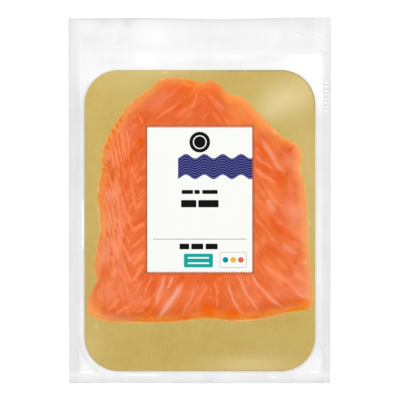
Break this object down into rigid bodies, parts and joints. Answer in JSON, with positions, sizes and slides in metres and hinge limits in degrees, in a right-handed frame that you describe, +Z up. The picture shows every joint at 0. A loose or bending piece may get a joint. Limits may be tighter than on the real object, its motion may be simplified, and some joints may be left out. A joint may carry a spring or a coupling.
{
  "type": "vacuum pack of sliced smoked salmon",
  "caption": "Flat vacuum pack of sliced smoked salmon on a gold card, in a clear film pouch with a sealed rim and a paper label on the front.",
  "frame": {"origin": "middle of the face that the pack rests on, at the centre of the pouch's box", "axes": "+X to the pack's right and +Y to its head as the label is read, +Z up out of the labelled front"},
  "size_m": [0.1576, 0.2196, 0.0086],
  "materials": {
    "packed_salmon": "salmon and gold card under tight clear film, glossy",
    "label_paper": null,
    "clear_film": "clear film, glossy, a little milky at the sealed rim",
    "salmon_flesh": "moist orange flesh with pale fat lines",
    "gold_card": "gold-laminated card, satin"
  },
  "bodies": {
    "root": {"pouch": "packed_salmon", "label": "label_paper"}
  },
  "joints": []
}
